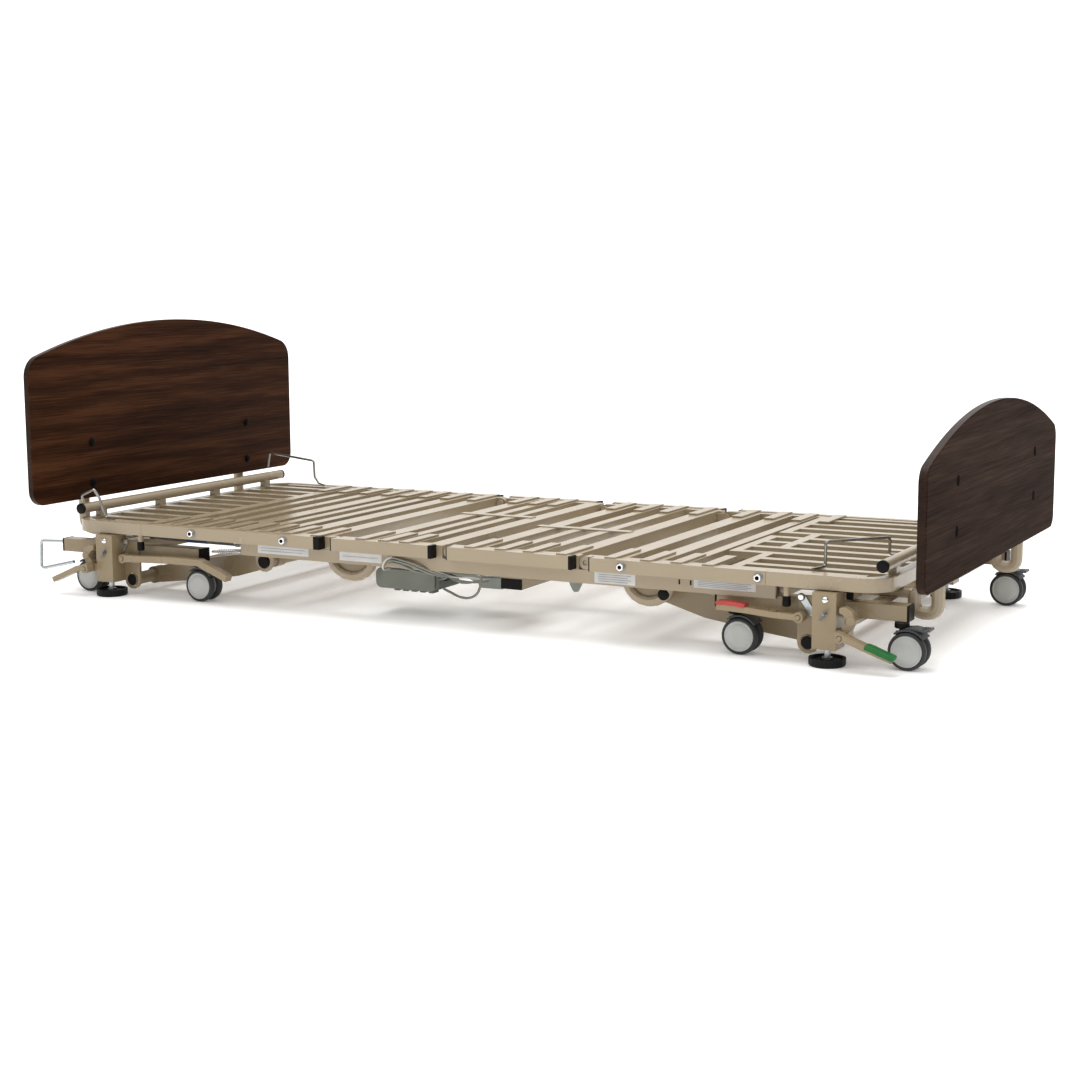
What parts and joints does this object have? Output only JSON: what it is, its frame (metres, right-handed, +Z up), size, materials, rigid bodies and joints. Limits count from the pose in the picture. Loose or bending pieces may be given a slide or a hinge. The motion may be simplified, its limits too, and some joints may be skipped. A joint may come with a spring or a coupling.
{
  "type": "adjustable hospital bed",
  "caption": "Low electric nursing bed: folding slatted deck on parallel lift arms, floor frames with twin-wheel casters and lock pedals, widening side rails, wood-effect end boards.",
  "frame": {"origin": "on the floor under the centre of the bed's overall box", "axes": "+X runs from the headboard to the footboard, +Y to the far side, +Z up"},
  "size_m": [2.4329, 1.12, 0.686],
  "materials": {
    "head_base_frame": "semi-gloss powder coat",
    "cord_hook": "zinc plated",
    "head_lift_arm": "semi-gloss powder coat",
    "deck_frame": "semi-gloss powder coat",
    "headboard": "dark walnut laminate",
    "footboard": "dark walnut laminate",
    "control_box": "moulded plastic",
    "control_lead": "cable sheath",
    "back_actuator_body": "moulded plastic",
    "knee_actuator_body": "moulded plastic",
    "head_lift_actuator_body": "moulded plastic",
    "foot_lift_actuator_body": "moulded plastic",
    "foot_lift_arm": "semi-gloss powder coat",
    "foot_base_frame": "semi-gloss powder coat",
    "head_section": "semi-gloss powder coat",
    "head_retainer_near": "zinc plated",
    "head_retainer_far": "zinc plated",
    "thigh_section": "semi-gloss powder coat",
    "foot_section": "semi-gloss powder coat",
    "foot_retainer_near": "zinc plated",
    "back_actuator_rod": "bright steel",
    "knee_actuator_rod": "bright steel",
    "head_lift_actuator_rod": "bright steel",
    "foot_lift_actuator_rod": "bright steel",
    "head_rail_near": "semi-gloss powder coat",
    "head_corner_near": "semi-gloss powder coat",
    "seat_rail_near": "semi-gloss powder coat",
    "thigh_rail_near": "semi-gloss powder coat",
    "foot_rail_near": "semi-gloss powder coat",
    "foot_corner_near": "semi-gloss powder coat",
    "head_rail_far": "semi-gloss powder coat",
    "head_corner_far": "semi-gloss powder coat",
    "seat_rail_far": "semi-gloss powder coat",
    "thigh_rail_far": "semi-gloss powder coat",
    "foot_rail_far": "semi-gloss powder coat",
    "foot_corner_far": "semi-gloss powder coat",
    "caster_fork_head_a_near": "moulded plastic",
    "caster_wheels_head_a_near": "grey tread on light plastic discs",
    "caster_fork_head_a_far": "moulded plastic",
    "caster_wheels_head_a_far": "grey tread on light plastic discs",
    "caster_fork_head_b_near": "moulded plastic",
    "caster_wheels_head_b_near": "grey tread on light plastic discs",
    "caster_fork_head_b_far": "moulded plastic",
    "caster_wheels_head_b_far": "grey tread on light plastic discs",
    "caster_fork_foot_a_near": "moulded plastic",
    "caster_wheels_foot_a_near": "grey tread on light plastic discs",
    "caster_fork_foot_a_far": "moulded plastic",
    "caster_wheels_foot_a_far": "grey tread on light plastic discs",
    "caster_fork_foot_b_near": "moulded plastic",
    "caster_wheels_foot_b_near": "grey tread on light plastic discs",
    "caster_fork_foot_b_far": "moulded plastic",
    "caster_wheels_foot_b_far": "grey tread on light plastic discs",
    "head_pad_near": "black rubber",
    "head_pad_far": "black rubber",
    "foot_pad_near": "black rubber",
    "foot_pad_far": "black rubber",
    "foot_lock_pedal": "semi-gloss powder coat",
    "foot_release_pedal": "semi-gloss powder coat",
    "head_lock_pedal": "semi-gloss powder coat",
    "head_release_pedal": "semi-gloss powder coat"
  },
  "bodies": {
    "head_base": {"head_base_frame": "head_base_frame", "cord_hook": "cord_hook"},
    "head_arm": {"head_lift_arm": "head_lift_arm"},
    "deck": {"deck_frame": "deck_frame", "headboard": "headboard", "footboard": "footboard", "control_box": "control_box", "control_lead": "control_lead", "back_actuator_body": "back_actuator_body", "knee_actuator_body": "knee_actuator_body", "head_lift_actuator_body": "head_lift_actuator_body", "foot_lift_actuator_body": "foot_lift_actuator_body"},
    "foot_arm": {"foot_lift_arm": "foot_lift_arm"},
    "foot_base": {"foot_base_frame": "foot_base_frame"},
    "backrest": {"head_section": "head_section", "head_retainer_near": "head_retainer_near", "head_retainer_far": "head_retainer_far"},
    "thigh_rest": {"thigh_section": "thigh_section"},
    "leg_rest": {"foot_section": "foot_section", "foot_retainer_near": "foot_retainer_near"},
    "back_actuator_rod": {"back_actuator_rod": "back_actuator_rod"},
    "knee_actuator_rod": {"knee_actuator_rod": "knee_actuator_rod"},
    "head_lift_actuator_rod": {"head_lift_actuator_rod": "head_lift_actuator_rod"},
    "foot_lift_actuator_rod": {"foot_lift_actuator_rod": "foot_lift_actuator_rod"},
    "head_rail_near": {"head_rail_near": "head_rail_near", "head_corner_near": "head_corner_near"},
    "seat_rail_near": {"seat_rail_near": "seat_rail_near"},
    "thigh_rail_near": {"thigh_rail_near": "thigh_rail_near"},
    "foot_rail_near": {"foot_rail_near": "foot_rail_near", "foot_corner_near": "foot_corner_near"},
    "head_rail_far": {"head_rail_far": "head_rail_far", "head_corner_far": "head_corner_far"},
    "seat_rail_far": {"seat_rail_far": "seat_rail_far"},
    "thigh_rail_far": {"thigh_rail_far": "thigh_rail_far"},
    "foot_rail_far": {"foot_rail_far": "foot_rail_far", "foot_corner_far": "foot_corner_far"},
    "caster_fork_head_a_near": {"caster_fork_head_a_near": "caster_fork_head_a_near"},
    "caster_wheels_head_a_near": {"caster_wheels_head_a_near": "caster_wheels_head_a_near"},
    "caster_fork_head_a_far": {"caster_fork_head_a_far": "caster_fork_head_a_far"},
    "caster_wheels_head_a_far": {"caster_wheels_head_a_far": "caster_wheels_head_a_far"},
    "caster_fork_head_b_near": {"caster_fork_head_b_near": "caster_fork_head_b_near"},
    "caster_wheels_head_b_near": {"caster_wheels_head_b_near": "caster_wheels_head_b_near"},
    "caster_fork_head_b_far": {"caster_fork_head_b_far": "caster_fork_head_b_far"},
    "caster_wheels_head_b_far": {"caster_wheels_head_b_far": "caster_wheels_head_b_far"},
    "caster_fork_foot_a_near": {"caster_fork_foot_a_near": "caster_fork_foot_a_near"},
    "caster_wheels_foot_a_near": {"caster_wheels_foot_a_near": "caster_wheels_foot_a_near"},
    "caster_fork_foot_a_far": {"caster_fork_foot_a_far": "caster_fork_foot_a_far"},
    "caster_wheels_foot_a_far": {"caster_wheels_foot_a_far": "caster_wheels_foot_a_far"},
    "caster_fork_foot_b_near": {"caster_fork_foot_b_near": "caster_fork_foot_b_near"},
    "caster_wheels_foot_b_near": {"caster_wheels_foot_b_near": "caster_wheels_foot_b_near"},
    "caster_fork_foot_b_far": {"caster_fork_foot_b_far": "caster_fork_foot_b_far"},
    "caster_wheels_foot_b_far": {"caster_wheels_foot_b_far": "caster_wheels_foot_b_far"},
    "head_pad_near": {"head_pad_near": "head_pad_near"},
    "head_pad_far": {"head_pad_far": "head_pad_far"},
    "foot_pad_near": {"foot_pad_near": "foot_pad_near"},
    "foot_pad_far": {"foot_pad_far": "foot_pad_far"},
    "foot_lock_pedal": {"foot_lock_pedal": "foot_lock_pedal"},
    "foot_release_pedal": {"foot_release_pedal": "foot_release_pedal"},
    "head_lock_pedal": {"head_lock_pedal": "head_lock_pedal"},
    "head_release_pedal": {"head_release_pedal": "head_release_pedal"}
  },
  "joints": [
    {"name": "lift", "type": "hinge", "parent": "head_base", "child": "head_arm", "pos_m": [-0.8841, 0, 0.04], "axis": [0, -1, 0], "range_deg": [0, 60]},
    {"name": "deck_level", "type": "hinge", "parent": "head_arm", "child": "deck", "pos_m": [-0.5041, 0, 0.106], "axis": [0, 1, 0], "range_deg": [0, 60]},
    {"name": "foot_arm_swing", "type": "hinge", "parent": "deck", "child": "foot_arm", "pos_m": [0.5494, 0, 0.106], "axis": [0, 1, 0], "range_deg": [0, 60]},
    {"name": "foot_base_level", "type": "hinge", "parent": "foot_arm", "child": "foot_base", "pos_m": [0.9294, 0, 0.04], "axis": [0, -1, 0], "range_deg": [0, 60]},
    {"name": "backrest_tilt", "type": "hinge", "parent": "deck", "child": "backrest", "pos_m": [-0.2681, 0, 0.1735], "axis": [0, 1, 0], "range_deg": [0, 65]},
    {"name": "thigh_tilt", "type": "hinge", "parent": "deck", "child": "thigh_rest", "pos_m": [0.0549, 0, 0.1735], "axis": [0, -1, 0], "range_deg": [0, 35]},
    {"name": "leg_tilt", "type": "hinge", "parent": "thigh_rest", "child": "leg_rest", "pos_m": [0.4064, 0, 0.1735], "axis": [0, 1, 0], "range_deg": [0, 52]},
    {"name": "back_actuator_stroke", "type": "slide", "parent": "deck", "child": "back_actuator_rod", "axis": [-1, 0, 0], "range_m": [0, 0.0935]},
    {"name": "knee_actuator_stroke", "type": "slide", "parent": "deck", "child": "knee_actuator_rod", "axis": [1, 0, 0], "range_m": [0, 0.0515]},
    {"name": "head_lift_actuator_stroke", "type": "slide", "parent": "deck", "child": "head_lift_actuator_rod", "axis": [-1, 0, 0], "range_m": [0, 0.0425]},
    {"name": "foot_lift_actuator_stroke", "type": "slide", "parent": "deck", "child": "foot_lift_actuator_rod", "axis": [1, 0, 0], "range_m": [0, 0.0425]},
    {"name": "head_rail_near_slide", "type": "slide", "parent": "backrest", "child": "head_rail_near", "axis": [0, -1, 0], "range_m": [0, 0.076]},
    {"name": "seat_rail_near_slide", "type": "slide", "parent": "deck", "child": "seat_rail_near", "axis": [0, -1, 0], "range_m": [0, 0.076]},
    {"name": "thigh_rail_near_slide", "type": "slide", "parent": "thigh_rest", "child": "thigh_rail_near", "axis": [0, -1, 0], "range_m": [0, 0.076]},
    {"name": "foot_rail_near_slide", "type": "slide", "parent": "leg_rest", "child": "foot_rail_near", "axis": [0, -1, 0], "range_m": [0, 0.076]},
    {"name": "head_rail_far_slide", "type": "slide", "parent": "backrest", "child": "head_rail_far", "axis": [0, 1, 0], "range_m": [0, 0.076]},
    {"name": "seat_rail_far_slide", "type": "slide", "parent": "deck", "child": "seat_rail_far", "axis": [0, 1, 0], "range_m": [0, 0.076]},
    {"name": "thigh_rail_far_slide", "type": "slide", "parent": "thigh_rest", "child": "thigh_rail_far", "axis": [0, 1, 0], "range_m": [0, 0.076]},
    {"name": "foot_rail_far_slide", "type": "slide", "parent": "leg_rest", "child": "foot_rail_far", "axis": [0, 1, 0], "range_m": [0, 0.076]},
    {"name": "swivel_head_a_near", "type": "hinge", "parent": "head_base", "child": "caster_fork_head_a_near", "pos_m": [-1.0405, -0.4125, 0.087], "axis": [0, 0, 1], "continuous": true},
    {"name": "roll_head_a_near", "type": "hinge", "parent": "caster_fork_head_a_near", "child": "caster_wheels_head_a_near", "pos_m": [-1.024, -0.4125, 0.0406], "axis": [0, 1, 0], "continuous": true},
    {"name": "swivel_head_a_far", "type": "hinge", "parent": "head_base", "child": "caster_fork_head_a_far", "pos_m": [-1.0405, 0.4125, 0.087], "axis": [0, 0, 1], "continuous": true},
    {"name": "roll_head_a_far", "type": "hinge", "parent": "caster_fork_head_a_far", "child": "caster_wheels_head_a_far", "pos_m": [-1.024, 0.4125, 0.0406], "axis": [0, 1, 0], "continuous": true},
    {"name": "swivel_head_b_near", "type": "hinge", "parent": "head_base", "child": "caster_fork_head_b_near", "pos_m": [-0.6851, -0.4125, 0.087], "axis": [0, 0, 1], "continuous": true},
    {"name": "roll_head_b_near", "type": "hinge", "parent": "caster_fork_head_b_near", "child": "caster_wheels_head_b_near", "pos_m": [-0.6686, -0.4125, 0.0406], "axis": [0, 1, 0], "continuous": true},
    {"name": "swivel_head_b_far", "type": "hinge", "parent": "head_base", "child": "caster_fork_head_b_far", "pos_m": [-0.6851, 0.4125, 0.087], "axis": [0, 0, 1], "continuous": true},
    {"name": "roll_head_b_far", "type": "hinge", "parent": "caster_fork_head_b_far", "child": "caster_wheels_head_b_far", "pos_m": [-0.6686, 0.4125, 0.0406], "axis": [0, 1, 0], "continuous": true},
    {"name": "swivel_foot_a_near", "type": "hinge", "parent": "foot_base", "child": "caster_fork_foot_a_near", "pos_m": [0.7596, -0.4125, 0.087], "axis": [0, 0, 1], "continuous": true},
    {"name": "roll_foot_a_near", "type": "hinge", "parent": "caster_fork_foot_a_near", "child": "caster_wheels_foot_a_near", "pos_m": [0.7761, -0.4125, 0.0406], "axis": [0, 1, 0], "continuous": true},
    {"name": "swivel_foot_a_far", "type": "hinge", "parent": "foot_base", "child": "caster_fork_foot_a_far", "pos_m": [0.7596, 0.4125, 0.087], "axis": [0, 0, 1], "continuous": true},
    {"name": "roll_foot_a_far", "type": "hinge", "parent": "caster_fork_foot_a_far", "child": "caster_wheels_foot_a_far", "pos_m": [0.7761, 0.4125, 0.0406], "axis": [0, 1, 0], "continuous": true},
    {"name": "swivel_foot_b_near", "type": "hinge", "parent": "foot_base", "child": "caster_fork_foot_b_near", "pos_m": [1.1278, -0.4125, 0.087], "axis": [0, 0, 1], "continuous": true},
    {"name": "roll_foot_b_near", "type": "hinge", "parent": "caster_fork_foot_b_near", "child": "caster_wheels_foot_b_near", "pos_m": [1.1443, -0.4125, 0.0406], "axis": [0, 1, 0], "continuous": true},
    {"name": "swivel_foot_b_far", "type": "hinge", "parent": "foot_base", "child": "caster_fork_foot_b_far", "pos_m": [1.1278, 0.4125, 0.087], "axis": [0, 0, 1], "continuous": true},
    {"name": "roll_foot_b_far", "type": "hinge", "parent": "caster_fork_foot_b_far", "child": "caster_wheels_foot_b_far", "pos_m": [1.1443, 0.4125, 0.0406], "axis": [0, 1, 0], "continuous": true},
    {"name": "head_pad_near_slide", "type": "slide", "parent": "head_base", "child": "head_pad_near", "axis": [0, 0, 1], "range_m": [0, 0.005]},
    {"name": "head_pad_far_slide", "type": "slide", "parent": "head_base", "child": "head_pad_far", "axis": [0, 0, 1], "range_m": [0, 0.005]},
    {"name": "foot_pad_near_slide", "type": "slide", "parent": "foot_base", "child": "foot_pad_near", "axis": [0, 0, 1], "range_m": [0, 0.005]},
    {"name": "foot_pad_far_slide", "type": "slide", "parent": "foot_base", "child": "foot_pad_far", "axis": [0, 0, 1], "range_m": [0, 0.005]},
    {"name": "foot_lock_pedal_press", "type": "hinge", "parent": "foot_base", "child": "foot_lock_pedal", "pos_m": [0.9189, -0.449, 0.098], "axis": [0, -1, 0], "range_deg": [0, 10.5]},
    {"name": "foot_release_pedal_press", "type": "hinge", "parent": "foot_base", "child": "foot_release_pedal", "pos_m": [1.0229, -0.492, 0.07], "axis": [0, -1, 0], "range_deg": [0, 14]},
    {"name": "head_lock_pedal_press", "type": "hinge", "parent": "head_base", "child": "head_lock_pedal", "pos_m": [-0.8881, -0.449, 0.098], "axis": [0, 1, 0], "range_deg": [0, 6]},
    {"name": "head_release_pedal_press", "type": "hinge", "parent": "head_base", "child": "head_release_pedal", "pos_m": [-0.9781, -0.492, 0.072], "axis": [0, 1, 0], "range_deg": [0, 16]}
  ],
  "couplings": [
    {"joint": "deck_level", "follows": "lift", "ratio": 1},
    {"joint": "foot_arm_swing", "follows": "lift", "ratio": 1},
    {"joint": "foot_base_level", "follows": "lift", "ratio": 1},
    {"joint": "leg_tilt", "follows": "thigh_tilt", "ratio": 1.47},
    {"joint": "back_actuator_stroke", "follows": "backrest_tilt", "m_per_rad": 0.0816},
    {"joint": "knee_actuator_stroke", "follows": "thigh_tilt", "m_per_rad": 0.0834},
    {"joint": "head_lift_actuator_stroke", "follows": "lift", "m_per_rad": 0.0401},
    {"joint": "foot_lift_actuator_stroke", "follows": "lift", "m_per_rad": 0.0401},
    {"joint": "foot_lock_pedal_press", "follows": "foot_release_pedal_press", "ratio": 0.75},
    {"joint": "head_lock_pedal_press", "follows": "head_release_pedal_press", "ratio": 0.32}
  ]
}
